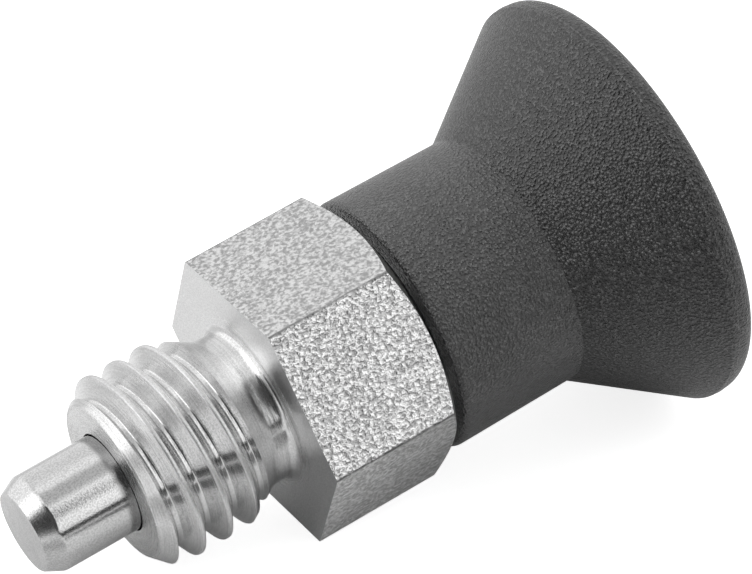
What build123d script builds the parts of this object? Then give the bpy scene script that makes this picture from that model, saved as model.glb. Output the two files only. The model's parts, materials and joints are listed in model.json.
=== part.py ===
from build123d import *
from math import atan2, cos, radians, sin, tan
import os

# Short indexing plunger: a pin that snaps into a hole, pulled back by a knob.
#
# Millimetres. The plunger lies at rest on the front edge of one hexagon flat and on
# the rim of its knob. The origin is the centre of the hexagon's seat face. +Z is up,
# and the axis runs from the pin at -X to the knob at +X, rising by the resting tilt.
# A distance along the axis is counted from the seat face, and is positive at the knob.

# Threaded shank, a coarse M10 thread with a relief neck behind it
shank_length = 7.85
thread_radius = 4.94
thread_pitch = 1.5
thread_depth = 0.92
thread_flank_angle = 30.0
thread_root_width = 0.25
thread_start_angle = 198.0
lead_chamfer = 0.94
neck_depth = 1.09
neck_width = 1.2
neck_fillet = 0.5
neck_runout_angle = 30.0

# Hexagon for the spanner, chamfered at the back only
hex_across_flats = 13.0
hex_length = 7.2
hex_back_radius = 6.4
hex_chamfer_angle = 30.0

# Sleeve behind the hexagon, which the knob slides over
sleeve_radius = 4.9
sleeve_length = 6.0
sleeve_chamfer = 0.3

# Bores: a close one for the pin, and a wide one for the spring
chamber_radius = 3.5
chamber_floor = 0.6
mouth_chamfer = 0.25

# Pin, turned in one piece with its collar and its stem
pin_radius = 2.5
pin_reach = 4.9
tip_radius = 2.05
tip_chamfer_length = 0.9
collar_radius = 3.42
collar_length = 1.3
stem_radius = 1.5
stem_chamfer = 0.2

# Compression spring with ground ends, its fine wire drawn with eight sides
wire_radius = 0.3
wire_sides = 8
coil_radius = 2.55
coil_turns = 5.0

# Guide bush pressed into the back of the sleeve
bush_length = 2.5
bush_chamfer = 0.2

# Threaded insert moulded into the knob
insert_radius = 2.6
insert_length = 4.8
insert_waist_radius = 2.25
insert_waist_length = 1.6

# Pull knob: a sleeve, a flare and a rounded rim with a low crown
knob_gap = 0.45
knob_front_radius = 6.6
knob_crease_radius = 6.52
knob_sleeve_length = 6.82
knob_edge_fillet = 0.3
knob_cavity_radius = 5.3
knob_floor_gap = 1.4
flare_length = 5.83
rim_radius = 10.69
rim_width = 1.32
rim_fillet = 0.9
crown_height = 0.7

# Fits
pin_clearance = 0.03
stem_clearance = 0.05
cutter_overshoot = 0.1

# Places along the axis
hex_back = hex_length
sleeve_back = hex_back + sleeve_length
bush_front = sleeve_back - bush_length
pin_tip = -shank_length - pin_reach
collar_back = chamber_floor + collar_length
knob_front = hex_back + knob_gap
crease = knob_front + knob_sleeve_length
rim_front = crease + flare_length
rim_back = rim_front + rim_width
cavity_floor = sleeve_back + knob_floor_gap
insert_back = cavity_floor + insert_length

# Resting tilt: the line of the floor touches the seat's edge and the rim's front edge
tilt = atan2(rim_radius - hex_across_flats / 2, rim_front)

axis_direction = Vector(cos(tilt), 0, sin(tilt))
shaft = Axis((0, 0, 0), axis_direction)
section = Plane(origin=(0, 0, 0), x_dir=axis_direction, z_dir=(0, -1, 0))


def across(distance):
    """Plane square to the axis, with its X level and its Y away from the floor."""
    return Plane(origin=axis_direction * distance, x_dir=(0, 1, 0), z_dir=axis_direction)


def outline(*points):
    """Half section of a turned form, as (distance along the axis, radius) corners."""
    with BuildSketch(section) as half_section:
        with BuildLine():
            Polyline(*points, close=True)
        make_face()
    return half_section.sketch


def insert_outline(bore_radius):
    """Half section of the knob's insert, with the waist that the plastic grips."""
    waist_front = cavity_floor + (insert_length - insert_waist_length) / 2
    waist_back = waist_front + insert_waist_length
    return outline(
        (cavity_floor, bore_radius),
        (cavity_floor, insert_radius),
        (waist_front, insert_radius),
        (waist_front, insert_waist_radius),
        (waist_back, insert_waist_radius),
        (waist_back, insert_radius),
        (insert_back, insert_radius),
        (insert_back, bore_radius),
    )


# Body: shank, neck, hexagon and sleeve, turned from one hexagon bar
lead_face_radius = thread_radius - lead_chamfer
neck_radius = thread_radius - neck_depth
runout_length = neck_depth / tan(radians(neck_runout_angle))
hex_corner_radius = hex_across_flats / 2 / cos(radians(30))
corner_rise = hex_corner_radius + cutter_overshoot - hex_back_radius
corner_chamfer_length = corner_rise * tan(radians(hex_chamfer_angle))
guide_radius = pin_radius + pin_clearance

# The groove is a little wider at the cutter's outer edge than at the thread's crest
groove_root_radius = thread_radius - thread_depth
groove_height = thread_depth + cutter_overshoot
groove_half_root = thread_root_width / 2
groove_half_top = groove_half_root + groove_height * tan(radians(thread_flank_angle))
groove_start = -shank_length - thread_pitch * (1 + thread_start_angle / 360)
groove_end = -groove_half_top - cutter_overshoot

with BuildPart() as body:
    with BuildSketch(across(-shank_length)):
        Circle(thread_radius)
    extrude(amount=shank_length)

    # Thread: one V groove along a right-hand helix, out through the relief neck
    with BuildLine() as groove_path:
        Helix(
            pitch=thread_pitch,
            height=groove_end - groove_start,
            radius=groove_root_radius,
            center=axis_direction * groove_start,
            direction=axis_direction,
        )
    start_point = groove_path.line @ 0
    start_radial = start_point - axis_direction * groove_start
    with BuildSketch(Plane(start_point, x_dir=start_radial, z_dir=groove_path.line % 0)):
        with BuildLine():
            Polyline(
                (0, -groove_half_root),
                (groove_height, -groove_half_top),
                (groove_height, groove_half_top),
                (0, groove_half_root),
                close=True,
            )
        make_face()
    sweep(is_frenet=True, mode=Mode.SUBTRACT)

    # Lead chamfer, run-out taper and neck, trimmed after the thread is cut
    with BuildSketch(section):
        with BuildLine():
            foot = RadiusArc((-neck_fillet, neck_radius), (0, neck_radius + neck_fillet), -neck_fillet)
            Polyline(
                foot @ 1,
                (0, 0),
                (-shank_length, 0),
                (-shank_length, lead_face_radius),
                (lead_chamfer - shank_length, thread_radius),
                (-neck_width - runout_length, thread_radius),
                (-neck_width, neck_radius),
                foot @ 0,
            )
        make_face()
    revolve(axis=shaft, mode=Mode.INTERSECT)

    with BuildSketch(across(0)):
        RegularPolygon(radius=hex_across_flats / 2, side_count=6, major_radius=False)
    extrude(amount=hex_length)
    corner_ring = outline(
        (hex_back, hex_back_radius),
        (hex_back, hex_back_radius + corner_rise),
        (hex_back - corner_chamfer_length, hex_back_radius + corner_rise),
    )
    revolve(corner_ring, axis=shaft, mode=Mode.SUBTRACT)

    with BuildSketch(across(hex_back)):
        Circle(sleeve_radius)
    extrude(amount=sleeve_length)
    sleeve_end = body.faces().sort_by(shaft)[-1]
    chamfer(sleeve_end.edges(), sleeve_chamfer)

    bores = outline(
        (-shank_length, 0),
        (-shank_length, guide_radius + mouth_chamfer),
        (mouth_chamfer - shank_length, guide_radius),
        (chamber_floor, guide_radius),
        (chamber_floor, chamber_radius),
        (sleeve_back, chamber_radius),
        (sleeve_back, 0),
    )
    revolve(bores, axis=shaft, mode=Mode.SUBTRACT)

# Guide bush: carries the stem and backs the spring
with BuildPart() as guide_bush:
    with BuildSketch(across(bush_front)):
        Circle(chamber_radius)
        Circle(stem_radius + stem_clearance, mode=Mode.SUBTRACT)
    extrude(amount=bush_length)
    bush_mouth = guide_bush.faces().sort_by(shaft)[-1]
    chamfer(bush_mouth.edges(), bush_chamfer)

# Pin: nose, collar and stem
with BuildPart() as pin:
    pin_section = outline(
        (pin_tip, 0),
        (pin_tip, tip_radius),
        (pin_tip + tip_chamfer_length, pin_radius),
        (chamber_floor, pin_radius),
        (chamber_floor, collar_radius),
        (collar_back, collar_radius),
        (collar_back, stem_radius),
        (insert_back - stem_chamfer, stem_radius),
        (insert_back, stem_radius - stem_chamfer),
        (insert_back, 0),
    )
    revolve(pin_section, axis=shaft)

# Spring: the wire runs past both seats and is ground back flush with them
wire_front = collar_back - wire_radius / 2
wire_length = bush_front - collar_back + wire_radius
with BuildPart() as spring:
    with BuildLine() as wire_path:
        Helix(
            pitch=wire_length / coil_turns,
            height=wire_length,
            radius=coil_radius,
            center=axis_direction * wire_front,
            direction=axis_direction,
        )
    with BuildSketch(Plane(wire_path.line @ 0, z_dir=wire_path.line % 0)):
        RegularPolygon(radius=wire_radius, side_count=wire_sides)
    sweep(is_frenet=True)
    with BuildSketch(across(collar_back)):
        Circle(chamber_radius)
    extrude(amount=bush_front - collar_back, mode=Mode.INTERSECT)

# Insert: a brass bush that the stem screws into
with BuildPart() as knob_insert:
    revolve(insert_outline(stem_radius), axis=shaft)

# Knob: moulded in one piece around its insert, hollow over the sleeve
crown_radius = (rim_radius**2 + crown_height**2) / (2 * crown_height)
with BuildPart() as knob:
    with BuildSketch(section) as knob_section:
        with BuildLine():
            crown = RadiusArc((rim_back, rim_radius), (rim_back + crown_height, 0), crown_radius)
            Polyline(
                crown @ 1,
                (knob_front, 0),
                (knob_front, knob_front_radius),
                (crease, knob_crease_radius),
                (rim_front, rim_radius),
                crown @ 0,
            )
        make_face()
        for corner, radius in (
            ((knob_front, knob_front_radius), knob_edge_fillet),
            ((rim_back, rim_radius), rim_fillet),
        ):
            fillet(knob_section.vertices().sort_by_distance(corner)[0], radius)
    revolve(axis=shaft)
    cavity = outline(
        (knob_front, 0),
        (knob_front, knob_cavity_radius),
        (cavity_floor, knob_cavity_radius),
        (cavity_floor, 0),
    )
    revolve(cavity, axis=shaft, mode=Mode.SUBTRACT)
    revolve(insert_outline(0), axis=shaft, mode=Mode.SUBTRACT)

os.makedirs("parts", exist_ok=True)
pieces = {
    "body": body,
    "guide_bush": guide_bush,
    "pin": pin,
    "spring": spring,
    "knob_insert": knob_insert,
    "knob": knob,
}
for name, piece in pieces.items():
    piece.part.label = name
    export_step(piece.part, f"parts/{name}.step")
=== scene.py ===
import json
from math import atan2, cos, pi, radians, sin, sqrt, tan

import bmesh
import bpy
import numpy as np
from mathutils import Matrix, Vector


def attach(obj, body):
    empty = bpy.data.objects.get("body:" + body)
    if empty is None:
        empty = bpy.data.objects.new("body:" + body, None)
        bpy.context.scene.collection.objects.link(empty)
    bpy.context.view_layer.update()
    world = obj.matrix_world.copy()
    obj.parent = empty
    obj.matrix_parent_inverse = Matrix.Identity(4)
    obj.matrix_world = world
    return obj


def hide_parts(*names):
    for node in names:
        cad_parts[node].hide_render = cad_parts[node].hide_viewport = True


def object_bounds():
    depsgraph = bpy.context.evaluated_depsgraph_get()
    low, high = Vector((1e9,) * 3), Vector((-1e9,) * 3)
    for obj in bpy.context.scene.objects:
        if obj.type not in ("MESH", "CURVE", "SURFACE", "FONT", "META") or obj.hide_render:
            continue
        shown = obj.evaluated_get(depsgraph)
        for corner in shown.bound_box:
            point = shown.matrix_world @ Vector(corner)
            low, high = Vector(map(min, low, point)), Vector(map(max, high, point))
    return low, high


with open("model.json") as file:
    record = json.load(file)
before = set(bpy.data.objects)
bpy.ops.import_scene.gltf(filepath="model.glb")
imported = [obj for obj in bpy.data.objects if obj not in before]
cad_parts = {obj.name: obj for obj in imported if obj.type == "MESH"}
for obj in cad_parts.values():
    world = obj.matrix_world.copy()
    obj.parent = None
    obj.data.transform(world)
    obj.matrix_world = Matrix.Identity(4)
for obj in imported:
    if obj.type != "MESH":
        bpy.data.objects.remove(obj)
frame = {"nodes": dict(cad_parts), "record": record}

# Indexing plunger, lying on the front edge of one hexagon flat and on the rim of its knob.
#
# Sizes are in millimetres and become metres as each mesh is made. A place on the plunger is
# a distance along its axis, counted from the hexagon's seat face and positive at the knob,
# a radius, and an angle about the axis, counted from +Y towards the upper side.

MM = 0.001
cad_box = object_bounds()

# Threaded shank and relief neck
SHANK_LENGTH = 7.85
THREAD_RADIUS = 4.94
THREAD_PITCH = 1.5
THREAD_DEPTH = 0.92
THREAD_FLANK = radians(30)
THREAD_ROOT_WIDTH = 0.25
THREAD_ROOT_ROUND = 0.12
THREAD_CREST_ROUND = 0.07
THREAD_START_TURN = 198 / 360
LEAD_FACE_RADIUS = 4.0
LEAD_FACE_ROUND = 0.06
NECK_RADIUS = 3.85
NECK_WIDTH = 1.2
NECK_ROUND = 1.0
NECK_FILLET = 0.5
NECK_RUNOUT = radians(30)

# Cutter of the thread's groove: its rise over the crest, and the gap it keeps from the seat
CUTTER_RISE = 0.015
CUTTER_GAP = 0.15
CUTTER_ROWS_PER_TURN = 180

# Hexagon and sleeve
HEX_ACROSS_FLATS = 13.0
HEX_LENGTH = 7.2
HEX_BACK_RADIUS = 6.4
HEX_CHAMFER = radians(30)
HEX_CORNER_ROUND = 0.18
SLEEVE_RADIUS = 4.9
SLEEVE_LENGTH = 6.0
SLEEVE_CHAMFER = 0.3

# Bores, the front one flared at its mouth
GUIDE_RADIUS = 2.53
MOUTH_GAP = 0.045
MOUTH_DEPTH = 0.5
CHAMBER_RADIUS = 3.5
CHAMBER_FLOOR = 0.6

# Pin
PIN_RADIUS = 2.5
PIN_REACH = 4.9
TIP_RADIUS = 2.05
TIP_CHAMFER = 0.9
TIP_FACE_ROUND = 0.07
TIP_SHOULDER_ROUND = 0.5
COLLAR_RADIUS = 3.42
COLLAR_LENGTH = 1.3
STEM_RADIUS = 1.5
STEM_CHAMFER = 0.2

# Knob and its insert
KNOB_GAP = 0.45
KNOB_FRONT_RADIUS = 6.6
KNOB_CREASE_RADIUS = 6.52
KNOB_SLEEVE_LENGTH = 6.82
KNOB_EDGE_FILLET = 0.3
KNOB_MOUTH_ROUND = 0.1
KNOB_CREASE_ROUND = 0.05
KNOB_CAVITY_RADIUS = 5.3
KNOB_FLOOR_GAP = 1.4
FLARE_LENGTH = 5.83
RIM_RADIUS = 10.69
RIM_WIDTH = 1.32
RIM_FRONT_ROUND = 0.15
RIM_FILLET = 0.9
CROWN_HEIGHT = 0.7
CROWN_EDGE_INSET = 1.1 * RIM_FILLET
CROWN_STEPS = 12
INSERT_RADIUS = 2.6
INSERT_LENGTH = 4.8
INSERT_WAIST_RADIUS = 2.25
INSERT_WAIST_LENGTH = 1.6

# Parting line: a low ridge around the rim, at these distances behind the rim's front edge
PARTING_HEIGHT = 0.025
PARTING_START = 0.22
PARTING_MIDDLE = 0.28
PARTING_TOP = 0.3
PARTING_END = 0.34

# Columns of the meshes around the axis, and the angle from which an edge is sharp
PIN_COLUMNS = 256
HEX_COLUMNS = 360
KNOB_COLUMNS = 384
SHARP_ANGLE = radians(32)

# In metres: points closer than the first are merged, and edges under the second are removed
MERGE_DISTANCE = 1e-7
SHORTEST_EDGE = 1e-8

# A face is part of a hexagon flat when its normal leans less than this along the axis, and
# when it lies within one margin of the flats and more than the other behind the seat face
FLAT_LEAN = 0.1
FLAT_MARGIN = 0.1
SEAT_MARGIN = 0.02

# Greys: the two ends of a pattern, or the middle and spread of a flat's mottle
TURNED_GREYS = (0.59, 0.80)
GROUND_GREYS = (0.52, 0.71)
# Painted shade on the pin beside the bore's mouth
PIN_ROOT_SHADE_GREY = 0.25
# The top flat's darker middle grey is painted shade
TOP_FLAT_SHADED_MIDDLE, TOP_FLAT_SPREAD = 0.56, 0.40
SIDE_FLAT_MIDDLE, SIDE_FLAT_SPREAD = 0.69, 0.53
# A darker grey in a broken line along the hexagon's corners
CORNER_LINE_GREY = 0.26
KNOB_SLEEVE_GREY = 0.040
# The flare's darker grey is painted shade
FLARE_SHADED_GREY = 0.005
PARTING_GREY = 0.05

# Roughness: a value or the two ends of a pattern, and what some places add to it
FLANK_ROUGHNESS = (0.08, 0.17)
SEAT_ROUGHER = 0.16
LEAD_FACE_ROUGHER = 0.14
CREST_ROUGHER = 0.24
FLAT_ROUGHNESS = 0.26
GROUND_ROUGHNESS = (0.07, 0.13)
TIP_ROUGHER = 0.13
KNOB_ROUGHNESS = 0.22

# Depths of the bumps
TURNED_BUMP = 0.010
FLAT_BUMP = 0.075
GROUND_BUMP = 0.0035
KNOB_BUMP = 0.115

# Floor. The camera sees its grey and the glow FLOOR_SEEN, which is white outside the shadow.
# Mirroring surfaces see no such glow. They see a weaker one behind the plunger, which rises and
# falls over these ranges of Y, and one before it. The floor is dark to them far out at the front
# right, and in round shades: a centre, a full and an outer radius, and a strength.
FLOOR_HALF_SIDE = 500
FLOOR_GREY = 0.82
FLOOR_DARK_GREY = 0.03
FLOOR_ROUGHNESS = 0.9
FLOOR_SEEN = 0.80
GLOW_BEHIND = 0.24
GLOW_BEHIND_RISE = (2, 12)
GLOW_BEHIND_FALL = (16, 30)
GLOW_BEFORE = 0.13
GLOW_BEFORE_FALL = (-7, -4)
FLOOR_DARK_FROM = (45, 60)
FLOOR_SHADES = [((6, -25), 9, 15, 0.95), ((-16, -12), 4, 8, 0.5)]
FRONT_RIGHT = (0.24, -0.97, 0.0)

# Room: lamps are a direction, the half angle of the soft spot in degrees, and added strength.
# Dim patches are a direction, their outer and inner half angles, and the share of light left.
# The skirting is a dark band on the front right wall, which fades over these ranges of the
# direction's height and of its share towards the front right.
WALL_LEVEL = 1.0
LAMPS = [
    ((0.12, 0.34, 0.93), 20, 0.15),
    ((-0.55, -0.02, 0.84), 28, 0.4),
    ((-0.85, 0.12, 0.52), 32, 0.9),
    ((-0.55, 0.8, 0.25), 42, 0.3),
    ((0.2, -0.76, 0.62), 34, 0.3),
]
DIM_PATCHES = [
    ((0.17, 0.72, 0.67), 30, 12, 0.95),
    ((0.13, -0.12, 0.98), 24, 8, 0.6),
    ((-0.88, -0.45, 0.15), 33, 14, 0.35),
    ((-0.46, -0.70, 0.55), 35, 29, 0.07),
]
SKIRTING_DARKNESS = 0.95
SKIRTING_TOP = (0.07, 0.11)
SKIRTING_SIDE = (0.5, 0.8)

# Camera: the place and turn that a perspective fit of the photograph's outline gave
PHOTO_WIDTH = 752
SENSOR_WIDTH = 36.0
FOCAL_PIXELS = 4995.2
CAMERA_PLACE = Vector((-97.594, -164.994, 136.706)) * MM
CAMERA_RIGHT = Vector((0.84340, -0.53727, -0.00389))
CAMERA_FORWARD = Vector((0.44259, 0.69885, -0.56189))

# Places along the axis
SHANK_FRONT = -SHANK_LENGTH
PIN_TIP = SHANK_FRONT - PIN_REACH
TIP_SHOULDER = PIN_TIP + TIP_CHAMFER
COLLAR_BACK = CHAMBER_FLOOR + COLLAR_LENGTH
HEX_BACK = HEX_LENGTH
SLEEVE_BACK = HEX_BACK + SLEEVE_LENGTH
KNOB_FRONT = HEX_BACK + KNOB_GAP
CREASE = KNOB_FRONT + KNOB_SLEEVE_LENGTH
RIM_FRONT = CREASE + FLARE_LENGTH
RIM_BACK = RIM_FRONT + RIM_WIDTH
CAVITY_FLOOR = SLEEVE_BACK + KNOB_FLOOR_GAP
INSERT_BACK = CAVITY_FLOOR + INSERT_LENGTH

# Half widths of the thread's groove at its root and at the crests
GROOVE_HALF_ROOT = THREAD_ROOT_WIDTH / 2
GROOVE_HALF_TOP = GROOVE_HALF_ROOT + THREAD_DEPTH * tan(THREAD_FLANK)

# Corners of the hexagon: the angle between two, their sharp radius, the radius at which their
# rounding is centred, and half the angle that the rounding takes at the axis
SIXTH_TURN = pi / 3
HEX_CORNER_RADIUS = HEX_ACROSS_FLATS / 2 / cos(SIXTH_TURN / 2)
CORNER_CENTRE = (HEX_ACROSS_FLATS / 2 - HEX_CORNER_ROUND) / cos(SIXTH_TURN / 2)
CORNER_REACH = atan2(
    HEX_CORNER_ROUND * sin(SIXTH_TURN / 2),
    CORNER_CENTRE + HEX_CORNER_ROUND * cos(SIXTH_TURN / 2),
)

# The plunger's axis, from the pin to the knob, is the axis that the knob is pulled along
AXIS = Vector(frame["record"]["behaviour"]["joints"][0]["axis"]).normalized()
ACROSS = Vector((0, 1, 0))
UPPER = AXIS.cross(ACROSS)


# Meshes

def place(along, radius, angle):
    """Positions in metres, from numbers or arrays of distance, radius and angle in radians."""
    along, radius, angle = np.broadcast_arrays(along, radius, angle)
    out = along[..., None] * np.array(AXIS)
    out = out + (radius * np.cos(angle))[..., None] * np.array(ACROSS)
    out = out + (radius * np.sin(angle))[..., None] * np.array(UPPER)
    return out * MM


def grid_object(name, points, closed_rows=False):
    """A mesh from a grid of points whose columns close on themselves; caps are left open."""
    rows, columns = points.shape[:2]
    corners = np.arange(rows * columns).reshape(rows, columns)
    here = corners if closed_rows else corners[:-1]
    there = np.roll(corners, -1, axis=0) if closed_rows else corners[1:]
    faces = np.stack([here, np.roll(here, -1, axis=1), np.roll(there, -1, axis=1), there], axis=-1)
    mesh = bpy.data.meshes.new(name)
    mesh.from_pydata(points.reshape(-1, 3).tolist(), [], faces.reshape(-1, 4).tolist())
    obj = bpy.data.objects.new(name, mesh)
    bpy.context.collection.objects.link(obj)
    return obj


def clean(obj):
    """Merge poles, face outwards, and shade smooth apart from the sharp edges."""
    bm = bmesh.new()
    bm.from_mesh(obj.data)
    bmesh.ops.remove_doubles(bm, verts=bm.verts, dist=MERGE_DISTANCE)
    bmesh.ops.dissolve_degenerate(bm, edges=bm.edges, dist=SHORTEST_EDGE)
    bmesh.ops.recalc_face_normals(bm, faces=bm.faces)
    bm.to_mesh(obj.data)
    bm.free()
    obj.data.polygons.foreach_set("use_smooth", [True] * len(obj.data.polygons))
    obj.data.set_sharp_from_angle(angle=SHARP_ANGLE)
    obj.data.update()


def rounded(corners, steps=6):
    """A profile from (along, radius) corners; a corner's third value rounds it with an arc."""
    profile = []
    for i, corner in enumerate(corners):
        here = Vector(corner[:2])
        if len(corner) < 3:
            profile.append(tuple(here))
            continue
        back = (Vector(corners[i - 1][:2]) - here).normalized()
        ahead = (Vector(corners[i + 1][:2]) - here).normalized()
        half = back.angle(ahead) / 2
        reach = corner[2] / tan(half)
        centre = here + (back + ahead).normalized() * (corner[2] / sin(half))
        start = here + back * reach - centre
        end = here + ahead * reach - centre
        sweep = start.angle(end)
        for step in range(steps + 1):
            part = step / steps
            spoke = (start * sin((1 - part) * sweep) + end * sin(part * sweep)) / sin(sweep)
            profile.append(tuple(centre + spoke))
    return profile


def turned(name, profile, columns, closed=False):
    """A lathe form from a profile of (along, radius)."""
    angle = np.arange(columns) * 2 * pi / columns
    along = np.array([p[0] for p in profile])[:, None]
    radius = np.array([p[1] for p in profile])[:, None]
    obj = grid_object(name, place(along, radius, angle), closed_rows=closed)
    clean(obj)
    return obj


def hexagon_angles():
    """Even columns, with finer ones across each rounded corner of the hexagon."""
    angles = [2 * pi * k / HEX_COLUMNS for k in range(HEX_COLUMNS)]
    for corner in range(6):
        for part in (-1, -0.5, 0.5, 1):
            angles.append((corner * SIXTH_TURN + part * CORNER_REACH) % (2 * pi))
    return np.array(sorted(angles))


def hexagon_radius(angle):
    """Radius of the hexagon with rounded corners, at each angle."""
    from_corner = (angle + SIXTH_TURN / 2) % SIXTH_TURN - SIXTH_TURN / 2
    from_flat = angle % SIXTH_TURN - SIXTH_TURN / 2
    flat = HEX_ACROSS_FLATS / 2 / np.cos(from_flat)
    rise = HEX_CORNER_ROUND ** 2 - (CORNER_CENTRE * np.sin(from_corner)) ** 2
    arc = CORNER_CENTRE * np.cos(from_corner) + np.sqrt(np.maximum(rise, 0))
    return np.where(np.abs(from_corner) < CORNER_REACH, arc, flat)


def body_blank():
    """The body before its thread is cut: one closed loop of rows about the axis."""
    angle = hexagon_angles()
    hexagon = hexagon_radius(angle)
    lead = THREAD_RADIUS - LEAD_FACE_RADIUS
    runout = (THREAD_RADIUS - NECK_RADIUS) / tan(NECK_RUNOUT)

    # The last corner only steers the neck's fillet, and is dropped
    shank = rounded([
        (SHANK_FRONT, GUIDE_RADIUS + MOUTH_GAP),
        (SHANK_FRONT, LEAD_FACE_RADIUS, LEAD_FACE_ROUND),
        (SHANK_FRONT + lead, THREAD_RADIUS),
        (-NECK_WIDTH - runout, THREAD_RADIUS),
        (-NECK_WIDTH, NECK_RADIUS, NECK_ROUND),
        (0, NECK_RADIUS, NECK_FILLET),
        (0, HEX_BACK_RADIUS),
    ], steps=8)[:-1]
    chamfer_start = HEX_BACK - (hexagon - HEX_BACK_RADIUS) * tan(HEX_CHAMFER)
    hexagon_rows = [(0, hexagon), (chamfer_start, hexagon), (HEX_BACK, HEX_BACK_RADIUS)]

    # Nothing here is rounded off, but the pin's corners take the same way, and so its collar
    # and the chamber's floor lie in one plane to the last digit
    sleeve_and_bores = rounded([
        (HEX_BACK, SLEEVE_RADIUS),
        (SLEEVE_BACK - SLEEVE_CHAMFER, SLEEVE_RADIUS),
        (SLEEVE_BACK, SLEEVE_RADIUS - SLEEVE_CHAMFER),
        (SLEEVE_BACK, CHAMBER_RADIUS),
        (CHAMBER_FLOOR, CHAMBER_RADIUS),
        (CHAMBER_FLOOR, GUIDE_RADIUS),
        (SHANK_FRONT + MOUTH_DEPTH, GUIDE_RADIUS),
    ])
    rows = shank + hexagon_rows + sleeve_and_bores
    points = [place(along, radius, angle) for along, radius in rows]
    blank = grid_object("threaded_body", np.array(points), closed_rows=True)
    clean(blank)
    return blank


def groove_section():
    """Section of the thread's groove, as (offset along the axis, radius), with a rounded root."""
    root_radius = THREAD_RADIUS - THREAD_DEPTH

    # The first and last corners only steer the arcs. The arc at the crest loses its level end
    # as well, and runs on straight from there until it is above the crest.
    right = rounded([
        (-GROOVE_HALF_ROOT, root_radius),
        (GROOVE_HALF_ROOT, root_radius, THREAD_ROOT_ROUND),
        (GROOVE_HALF_TOP, THREAD_RADIUS, THREAD_CREST_ROUND),
        (2 * GROOVE_HALF_TOP, THREAD_RADIUS),
    ])[1:-2]
    last = Vector(right[-1]) - Vector(right[-2])
    top = Vector(right[-1]) + last * ((THREAD_RADIUS + CUTTER_RISE - right[-1][1]) / last.y)
    right.append(tuple(top))
    left = [(-along, radius) for along, radius in reversed(right)]
    return left + right


def thread_groove():
    """The groove as a closed solid, wound along a right-hand helix from before the shank."""
    section = groove_section()
    start = SHANK_FRONT - THREAD_PITCH * (1 + THREAD_START_TURN)
    turns = (-GROOVE_HALF_TOP - CUTTER_GAP - start) / THREAD_PITCH
    row = np.arange(int(turns * CUTTER_ROWS_PER_TURN) + 1)[:, None]
    angle = pi / 2 + row * 2 * pi / CUTTER_ROWS_PER_TURN
    centre = start + THREAD_PITCH * row / CUTTER_ROWS_PER_TURN
    along = centre + np.array([p[0] for p in section])
    points = place(along, np.array([p[1] for p in section]), angle)
    rows, columns = points.shape[:2]
    groove = grid_object("groove", points)
    bm = bmesh.new()
    bm.from_mesh(groove.data)
    bm.verts.ensure_lookup_table()
    for first in (0, (rows - 1) * columns):
        bm.faces.new([bm.verts[first + k] for k in range(columns)])
    bmesh.ops.recalc_face_normals(bm, faces=bm.faces)
    bm.to_mesh(groove.data)
    bm.free()
    return groove


def cut(obj, cutter):
    """Subtract one closed mesh from another and delete the cutter."""
    modifier = obj.modifiers.new("cut", "BOOLEAN")
    modifier.operation = "DIFFERENCE"
    modifier.solver = "MANIFOLD"
    modifier.object = cutter
    depsgraph = bpy.context.evaluated_depsgraph_get()
    result = bpy.data.meshes.new_from_object(obj.evaluated_get(depsgraph))
    obj.modifiers.clear()
    old = obj.data
    obj.data = result
    bpy.data.meshes.remove(old)
    bpy.data.objects.remove(cutter)
    clean(obj)


def make_body():
    """Shank, thread, neck, hexagon and sleeve in one piece, with its bores."""
    body = body_blank()
    cut(body, thread_groove())
    body.data.name = body.name
    return body


def make_pin():
    """Nose, collar and stem in one piece."""
    return turned("plunger_pin", rounded([
        (PIN_TIP, 0),
        (PIN_TIP, TIP_RADIUS, TIP_FACE_ROUND),
        (TIP_SHOULDER, PIN_RADIUS, TIP_SHOULDER_ROUND),
        (CHAMBER_FLOOR, PIN_RADIUS),
        (CHAMBER_FLOOR, COLLAR_RADIUS),
        (COLLAR_BACK, COLLAR_RADIUS),
        (COLLAR_BACK, STEM_RADIUS),
        (INSERT_BACK - STEM_CHAMFER, STEM_RADIUS),
        (INSERT_BACK, STEM_RADIUS - STEM_CHAMFER),
        (INSERT_BACK, 0),
    ]), PIN_COLUMNS)


def crown_points():
    """The knob's low crown, from the rim's rounding to the axis."""
    crown_radius = (RIM_RADIUS ** 2 + CROWN_HEIGHT ** 2) / (2 * CROWN_HEIGHT)
    points = []
    for step in range(CROWN_STEPS + 1):
        radius = (RIM_RADIUS - CROWN_EDGE_INSET) * (1 - step / CROWN_STEPS)
        rise = sqrt(crown_radius ** 2 - radius ** 2) - (crown_radius - CROWN_HEIGHT)
        points.append((RIM_BACK + rise, radius))
    return points


def make_knob():
    """The moulded knob, hollow in front, with a seat for its insert."""
    waist_front = CAVITY_FLOOR + (INSERT_LENGTH - INSERT_WAIST_LENGTH) / 2
    waist_back = waist_front + INSERT_WAIST_LENGTH
    rim_wall = RIM_RADIUS - PARTING_HEIGHT
    crown = crown_points()
    outside = rounded([
        (CAVITY_FLOOR, KNOB_CAVITY_RADIUS),
        (KNOB_FRONT, KNOB_CAVITY_RADIUS, KNOB_MOUTH_ROUND),
        (KNOB_FRONT, KNOB_FRONT_RADIUS, KNOB_EDGE_FILLET),
        (CREASE, KNOB_CREASE_RADIUS, KNOB_CREASE_ROUND),
        (RIM_FRONT, rim_wall, RIM_FRONT_ROUND),
        (RIM_FRONT + PARTING_START, rim_wall),
        (RIM_FRONT + PARTING_TOP, RIM_RADIUS),
        (RIM_FRONT + PARTING_END, rim_wall),
        (RIM_BACK, rim_wall, RIM_FILLET),
        crown[0],
    ], steps=10)
    inside = [
        (INSERT_BACK, 0),
        (INSERT_BACK, INSERT_RADIUS),
        (waist_back, INSERT_RADIUS),
        (waist_back, INSERT_WAIST_RADIUS),
        (waist_front, INSERT_WAIST_RADIUS),
        (waist_front, INSERT_RADIUS),
        (CAVITY_FLOOR, INSERT_RADIUS),
    ]
    return turned("pull_knob", outside + crown[1:] + inside, KNOB_COLUMNS, closed=True)


# Materials

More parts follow.
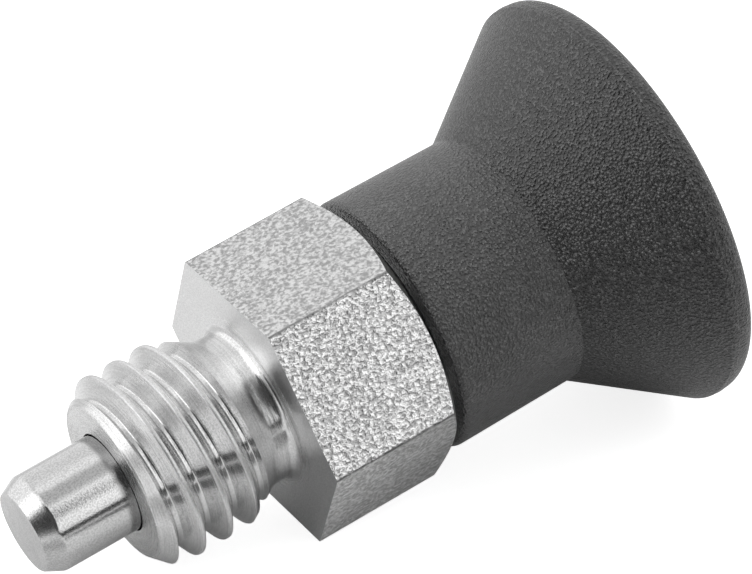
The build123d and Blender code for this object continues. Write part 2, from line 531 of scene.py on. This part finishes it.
def new_material(name):
    """A material with nothing but a Principled shader, and that shader."""
    material = bpy.data.materials.new(name)
    material.use_nodes = True
    material.node_tree.nodes.clear()
    output = material.node_tree.nodes.new("ShaderNodeOutputMaterial")
    shader = material.node_tree.nodes.new("ShaderNodeBsdfPrincipled")
    material.node_tree.links.new(shader.outputs[0], output.inputs[0])
    return material, shader


class Nodes:
    """Short calls for building the node tree of a material or a world."""

    def __init__(self, owner):
        self.tree = owner.node_tree

    def link(self, value, socket):
        """Feed a socket from another one, or set it to a constant."""
        if isinstance(value, bpy.types.NodeSocket):
            self.tree.links.new(value, socket)
        else:
            socket.default_value = value

    def math(self, operation, a, b=0.0):
        node = self.tree.nodes.new("ShaderNodeMath")
        node.operation = operation
        self.link(a, node.inputs[0])
        self.link(b, node.inputs[1])
        return node.outputs[0]

    def add(self, a, b):
        return self.math("ADD", a, b)

    def subtract(self, a, b):
        return self.math("SUBTRACT", a, b)

    def multiply(self, a, b):
        return self.math("MULTIPLY", a, b)

    def vector_math(self, operation, a, b):
        node = self.tree.nodes.new("ShaderNodeVectorMath")
        node.operation = operation
        self.link(a, node.inputs[0])
        self.link(b, node.inputs["Scale" if operation == "SCALE" else 1])
        return node.outputs["Value" if operation in ("DOT_PRODUCT", "DISTANCE") else "Vector"]

    def dot(self, a, b):
        return self.vector_math("DOT_PRODUCT", a, b)

    def position(self):
        """Position in the object's own coordinates, in mm."""
        coordinates = self.tree.nodes.new("ShaderNodeTexCoord").outputs["Object"]
        return self.vector_math("SCALE", coordinates, 1 / MM)

    def axial(self):
        """Position, distance along the axis and radius, in mm, and angle about the axis."""
        position = self.position()
        along = self.dot(position, AXIS)
        across = self.dot(position, ACROSS)
        upper = self.dot(position, UPPER)
        squares = self.add(self.multiply(across, across), self.multiply(upper, upper))
        return position, along, self.math("SQRT", squares), self.math("ARCTAN2", upper, across)

    def drawn_out(self, position, along, share):
        """Position less a share of the way along the axis, which draws a pattern out."""
        left_out = self.vector_math("SCALE", AXIS, self.multiply(along, share))
        return self.vector_math("SUBTRACT", position, left_out)

    def combine(self, x, y, z):
        node = self.tree.nodes.new("ShaderNodeCombineXYZ")
        for value, socket in zip((x, y, z), node.inputs):
            self.link(value, socket)
        return node.outputs[0]

    def noise(self, vector, scale, detail=2.0, roughness=0.5, distortion=0.0):
        node = self.tree.nodes.new("ShaderNodeTexNoise")
        self.link(vector, node.inputs["Vector"])
        node.inputs["Scale"].default_value = scale
        node.inputs["Detail"].default_value = detail
        node.inputs["Roughness"].default_value = roughness
        node.inputs["Distortion"].default_value = distortion
        return node.outputs[0]

    def cells(self, vector, scale, smoothness):
        node = self.tree.nodes.new("ShaderNodeTexVoronoi")
        node.feature = "SMOOTH_F1"
        self.link(vector, node.inputs["Vector"])
        node.inputs["Scale"].default_value = scale
        node.inputs["Smoothness"].default_value = smoothness
        return node.outputs["Distance"]

    def ramp(self, value, low, high, to_low=0.0, to_high=1.0):
        """A smooth step from to_low at low to to_high at high."""
        node = self.tree.nodes.new("ShaderNodeMapRange")
        node.interpolation_type = "SMOOTHSTEP"
        self.link(value, node.inputs["Value"])
        node.inputs["From Min"].default_value = low
        node.inputs["From Max"].default_value = high
        node.inputs["To Min"].default_value = to_low
        node.inputs["To Max"].default_value = to_high
        return node.outputs[0]

    def mix_color(self, part, a, b):
        node = self.tree.nodes.new("ShaderNodeMix")
        node.data_type = "RGBA"
        self.link(part, node.inputs["Factor"])
        self.link(a, node.inputs[6])
        self.link(b, node.inputs[7])
        return node.outputs[2]

    def bump(self, height, distance_mm):
        node = self.tree.nodes.new("ShaderNodeBump")
        node.inputs["Strength"].default_value = 1.0
        node.inputs["Distance"].default_value = distance_mm * MM
        self.link(height, node.inputs["Height"])
        return node.outputs[0]


def grey(value):
    """An opaque colour with three equal channels."""
    return (value, value, value, 1.0)


def turned_steel():
    """Bright turned steel, with fine lines around the axis."""
    material, shader = new_material("turned_steel")
    nodes = Nodes(material)
    position, along, radius, angle = nodes.axial()
    rings = nodes.combine(along, radius, nodes.multiply(angle, 0.12))
    lines = nodes.noise(rings, scale=9.0, detail=4.0, roughness=0.75)
    speckle = nodes.noise(position, scale=13.0, detail=3.0, roughness=0.6)

    # The lines fade towards the seat face, which is nearly plain
    on_shank = nodes.ramp(along, -0.3, -0.02, 1.0, 0.1)
    streaks = nodes.multiply(nodes.subtract(lines, 0.5), nodes.multiply(on_shank, 0.55))
    marks = nodes.add(nodes.multiply(speckle, 0.6), nodes.add(streaks, 0.2))
    color = nodes.mix_color(nodes.ramp(marks, 0.38, 0.62), *map(grey, TURNED_GREYS))
    nodes.link(color, shader.inputs["Base Color"])
    shader.inputs["Metallic"].default_value = 1.0

    # The seat face, the lead face and the thread's crests are rougher than its flanks
    lead_face = (SHANK_FRONT + 0.02, SHANK_FRONT + 0.1)
    seat = nodes.ramp(along, -0.1, -0.02, 0.0, SEAT_ROUGHER)
    lead = nodes.ramp(along, *lead_face, LEAD_FACE_ROUGHER, 0.0)
    crest = nodes.ramp(radius, THREAD_RADIUS - 0.09, THREAD_RADIUS - 0.05, 0.0, CREST_ROUGHER)
    rougher = nodes.add(nodes.add(seat, lead), nodes.multiply(crest, on_shank))
    flank = nodes.ramp(lines, 0.2, 0.8, *FLANK_ROUGHNESS)
    nodes.link(nodes.add(flank, rougher), shader.inputs["Roughness"])

    # The lines are five times as deep on the lead face as on the rest of the shank
    depth = nodes.multiply(on_shank, nodes.ramp(along, *lead_face, 5.0, 1.0))
    nodes.link(nodes.bump(nodes.multiply(lines, depth), TURNED_BUMP), shader.inputs["Normal"])
    return material


def bar_steel():
    """The hexagon's flats: mottled bar stock, darker in a broken line along each corner."""
    material, shader = new_material("bar_steel")
    nodes = Nodes(material)
    position, along, radius, angle = nodes.axial()
    pits = nodes.noise(nodes.drawn_out(position, along, 0.08), scale=5.6, distortion=0.4)
    streaks = nodes.noise(nodes.drawn_out(position, along, 0.85), scale=6.5)
    mottle = nodes.add(nodes.multiply(pits, 0.86), nodes.multiply(streaks, 0.14))

    # Painted shade: the flat that faces up is given a darker grey than the others, and a more even
    # mottle
    from_top = nodes.math("ABSOLUTE", nodes.subtract(angle, pi / 2))
    top_corner = (radians(29), radians(31))
    spread = nodes.ramp(from_top, *top_corner, TOP_FLAT_SPREAD, SIDE_FLAT_SPREAD)
    middle = nodes.ramp(from_top, *top_corner, TOP_FLAT_SHADED_MIDDLE, SIDE_FLAT_MIDDLE)
    tone = nodes.ramp(mottle, 0.36, 0.64, -0.5, 0.5)
    shade = nodes.add(nodes.multiply(tone, spread), middle)
    color = nodes.combine(shade, shade, shade)

    # Darker in a broken line along the crest of each corner
    near_corner = nodes.ramp(radius, HEX_CORNER_RADIUS - 0.06, HEX_CORNER_RADIUS - 0.035)
    broken = nodes.multiply(near_corner, nodes.ramp(streaks, 0.35, 0.55, 0.25, 1.0))
    color = nodes.mix_color(broken, color, grey(CORNER_LINE_GREY))
    nodes.link(color, shader.inputs["Base Color"])
    shader.inputs["Metallic"].default_value = 1.0
    shader.inputs["Roughness"].default_value = FLAT_ROUGHNESS
    nodes.link(nodes.bump(mottle, FLAT_BUMP), shader.inputs["Normal"])
    return material


def ground_steel():
    """The pin: ground and satin, with a rougher tip and painted shade beside the bore's mouth."""
    material, shader = new_material("ground_steel")
    nodes = Nodes(material)
    position, along, radius, angle = nodes.axial()
    rings = nodes.combine(along, radius, nodes.multiply(angle, 0.4))
    lines = nodes.noise(rings, scale=9.0, detail=4.0, roughness=0.7)
    stripes = nodes.combine(nodes.multiply(along, 0.06), radius, nodes.multiply(angle, 1.2))
    bands = nodes.noise(stripes, scale=1.6, detail=3.0)
    speckle = nodes.noise(position, scale=12.0, detail=3.0, roughness=0.6)
    marks = nodes.add(nodes.multiply(bands, 0.22), nodes.multiply(speckle, 0.78))
    color = nodes.mix_color(nodes.ramp(marks, 0.38, 0.60), *map(grey, GROUND_GREYS))
    # Painted shade: the pin darkens towards the bore's mouth
    root_shade = nodes.ramp(along, SHANK_FRONT - 0.7, SHANK_FRONT - 0.4, 0.0, 0.8)
    color = nodes.mix_color(root_shade, color, grey(PIN_ROOT_SHADE_GREY))
    nodes.link(color, shader.inputs["Base Color"])
    shader.inputs["Metallic"].default_value = 1.0
    ground = nodes.ramp(lines, 0.2, 0.8, *GROUND_ROUGHNESS)
    tip = nodes.ramp(along, TIP_SHOULDER - 0.02, TIP_SHOULDER + 0.02, TIP_ROUGHER, 0.0)
    nodes.link(nodes.add(ground, tip), shader.inputs["Roughness"])
    height = nodes.add(nodes.multiply(lines, 0.3), speckle)
    nodes.link(nodes.bump(height, GROUND_BUMP), shader.inputs["Normal"])
    return material


def moulded_plastic():
    """The knob: dark plastic with a fine leather-like grain and a paler parting line."""
    material, shader = new_material("moulded_plastic")
    nodes = Nodes(material)
    position, along = nodes.axial()[:2]
    cells = nodes.cells(position, scale=6.8, smoothness=0.4)
    soft = nodes.noise(position, scale=7.8)
    grain = nodes.subtract(nodes.multiply(soft, 0.8), nodes.multiply(cells, 0.7))

    # Painted light and shade: one plastic, with the sleeve given a paler grey than the flare, and
    # both change slowly from place to place
    base = nodes.ramp(along, CREASE - 0.02, CREASE + 0.02, KNOB_SLEEVE_GREY, FLARE_SHADED_GREY)
    tone = nodes.noise(position, scale=0.35)
    shade = nodes.multiply(base, nodes.ramp(tone, 0.3, 0.7, 0.85, 1.15))
    color = nodes.combine(shade, shade, shade)
    from_line = nodes.math("ABSOLUTE", nodes.subtract(along, RIM_FRONT + PARTING_MIDDLE))
    on_line = nodes.ramp(from_line, 0.02, 0.06, 1.0, 0.0)
    color = nodes.mix_color(on_line, color, grey(PARTING_GREY))
    nodes.link(color, shader.inputs["Base Color"])
    shader.inputs["Roughness"].default_value = KNOB_ROUGHNESS

    # The grain's domes shine more than its valleys
    shine = nodes.ramp(grain, 0.0, 0.3, 0.8, 1.62)
    nodes.link(shine, shader.inputs["Specular IOR Level"])
    nodes.link(nodes.bump(grain, KNOB_BUMP), shader.inputs["Normal"])
    return material


def plain_metal(name, color, roughness):
    """A hidden metal piece, turned or drawn, with lines in its colour and its roughness."""
    material, shader = new_material(name)
    nodes = Nodes(material)
    along, radius, angle = nodes.axial()[1:]
    rings = nodes.combine(along, radius, nodes.multiply(angle, 0.2))
    lines = nodes.noise(rings, scale=8.0, detail=3.0)
    darker = tuple(0.85 * channel for channel in color[:3]) + (1.0,)
    nodes.link(nodes.mix_color(lines, darker, color), shader.inputs["Base Color"])
    shader.inputs["Metallic"].default_value = 1.0
    rough = nodes.ramp(lines, 0.2, 0.8, roughness - 0.06, roughness + 0.06)
    nodes.link(rough, shader.inputs["Roughness"])
    return material


def finish_body(body):
    """Bar steel on the hexagon's flats, and turned steel everywhere else."""
    body.data.materials.clear()
    body.data.materials.append(turned_steel())
    body.data.materials.append(bar_steel())
    for polygon in body.data.polygons:
        centre = Vector(polygon.center) / MM
        along = centre.dot(AXIS)
        radius = (centre - AXIS * along).length
        outward = abs(polygon.normal.dot(AXIS)) < FLAT_LEAN
        far_out = radius > HEX_ACROSS_FLATS / 2 - FLAT_MARGIN
        if outward and far_out and along > SEAT_MARGIN:
            polygon.material_index = 1


# Pieces

body = make_body()
finish_body(body)
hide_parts("body")
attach(body, "housing")

pin = make_pin()
pin.data.materials.append(ground_steel())
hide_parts("pin")
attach(pin, "plunger")

knob = make_knob()
knob.data.materials.append(moulded_plastic())
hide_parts("knob")
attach(knob, "plunger")

inner_finishes = {
    "guide_bush": plain_metal("bush_steel", (0.55, 0.56, 0.57, 1.0), 0.35),
    "spring": plain_metal("spring_steel", (0.5, 0.51, 0.52, 1.0), 0.3),
    "knob_insert": plain_metal("insert_brass", (0.78, 0.6, 0.3, 1.0), 0.3),
}
for node, material in inner_finishes.items():
    for slot in frame["nodes"][node].material_slots:
        slot.material = material

# Camera

camera_data = bpy.data.cameras.new("camera")
camera_data.sensor_width = SENSOR_WIDTH
camera_data.lens = FOCAL_PIXELS * SENSOR_WIDTH / PHOTO_WIDTH
camera = bpy.data.objects.new("camera", camera_data)
bpy.context.collection.objects.link(camera)
back = -CAMERA_FORWARD.normalized()
right = (CAMERA_RIGHT - back * CAMERA_RIGHT.dot(back)).normalized()
turn = Matrix((right, back.cross(right), back)).transposed()
camera.matrix_world = Matrix.Translation(CAMERA_PLACE) @ turn.to_4x4()
bpy.context.scene.camera = camera

# Floor

floor_height = cad_box[0][2]
floor_half = FLOOR_HALF_SIDE * MM
floor_corners = [(x * floor_half, y * floor_half, floor_height)
                 for x, y in ((-1, -1), (1, -1), (1, 1), (-1, 1))]
floor_mesh = bpy.data.meshes.new("floor")
floor_mesh.from_pydata(floor_corners, [], [(0, 1, 2, 3)])
floor = bpy.data.objects.new("floor", floor_mesh)
bpy.context.collection.objects.link(floor)

floor_material, floor_shader = new_material("pale_floor")
nodes = Nodes(floor_material)
paths = nodes.tree.nodes.new("ShaderNodeLightPath").outputs
mirror_rays = nodes.math("MAXIMUM", paths["Is Glossy Ray"], paths["Is Transmission Ray"])
floor_place = nodes.position()

# Its colour, dark in places to mirroring rays
darkness = nodes.ramp(nodes.dot(floor_place, FRONT_RIGHT), *FLOOR_DARK_FROM)
for (x, y), full, outer, strength in FLOOR_SHADES:
    away = nodes.vector_math("DISTANCE", floor_place, (x, y, floor_height / MM))
    darkness = nodes.math("MAXIMUM", darkness, nodes.ramp(away, full, outer, strength, 0.0))
darkness = nodes.multiply(darkness, mirror_rays)
floor_color = nodes.mix_color(darkness, grey(FLOOR_GREY), grey(FLOOR_DARK_GREY))
nodes.link(floor_color, floor_shader.inputs["Base Color"])
floor_shader.inputs["Roughness"].default_value = FLOOR_ROUGHNESS
floor_shader.inputs["Specular IOR Level"].default_value = 0.0

# Its glow, one strength to the camera and another to mirroring rays
floor_y = nodes.dot(floor_place, (0, 1, 0))
rise = nodes.ramp(floor_y, *GLOW_BEHIND_RISE)
fall = nodes.ramp(floor_y, *GLOW_BEHIND_FALL, GLOW_BEHIND, 0.0)
before = nodes.ramp(floor_y, *GLOW_BEFORE_FALL, GLOW_BEFORE, 0.0)
to_mirrors = nodes.multiply(mirror_rays, nodes.add(nodes.multiply(rise, fall), before))
to_camera = nodes.multiply(paths["Is Camera Ray"], FLOOR_SEEN)
nodes.link(nodes.add(to_camera, to_mirrors), floor_shader.inputs["Emission Strength"])
floor_shader.inputs["Emission Color"].default_value = grey(1.0)
floor.data.materials.append(floor_material)

# World: a white room whose walls have brighter and dimmer places, which the metal mirrors.
# The camera sees it plain white.

world = bpy.data.worlds.new("room")
world.use_nodes = True
bpy.context.scene.world = world
nodes = Nodes(world)
direction = nodes.tree.nodes.new("ShaderNodeTexCoord").outputs["Generated"]
level = WALL_LEVEL
for side, half_angle, strength in LAMPS:
    toward = nodes.dot(direction, Vector(side).normalized())
    level = nodes.add(level, nodes.ramp(toward, cos(radians(half_angle)), 1.0, 0.0, strength))
for side, outer, inner, share in DIM_PATCHES:
    toward = nodes.dot(direction, side)
    dimming = nodes.ramp(toward, cos(radians(outer)), cos(radians(inner)), 1.0, share)
    level = nodes.multiply(level, dimming)
near_horizon = nodes.ramp(nodes.dot(direction, (0, 0, 1)), *SKIRTING_TOP, 1.0, 0.0)
at_right = nodes.ramp(nodes.dot(direction, FRONT_RIGHT), *SKIRTING_SIDE)
skirting = nodes.multiply(nodes.multiply(near_horizon, at_right), SKIRTING_DARKNESS)
level = nodes.multiply(level, nodes.subtract(1.0, skirting))
seen = nodes.tree.nodes.new("ShaderNodeLightPath").outputs["Is Camera Ray"]
level = nodes.add(nodes.multiply(level, nodes.subtract(1.0, seen)), seen)
background = world.node_tree.nodes["Background"]
background.inputs["Color"].default_value = grey(1.0)
nodes.link(level, background.inputs["Strength"])

bpy.context.scene.view_settings.view_transform = "Standard"
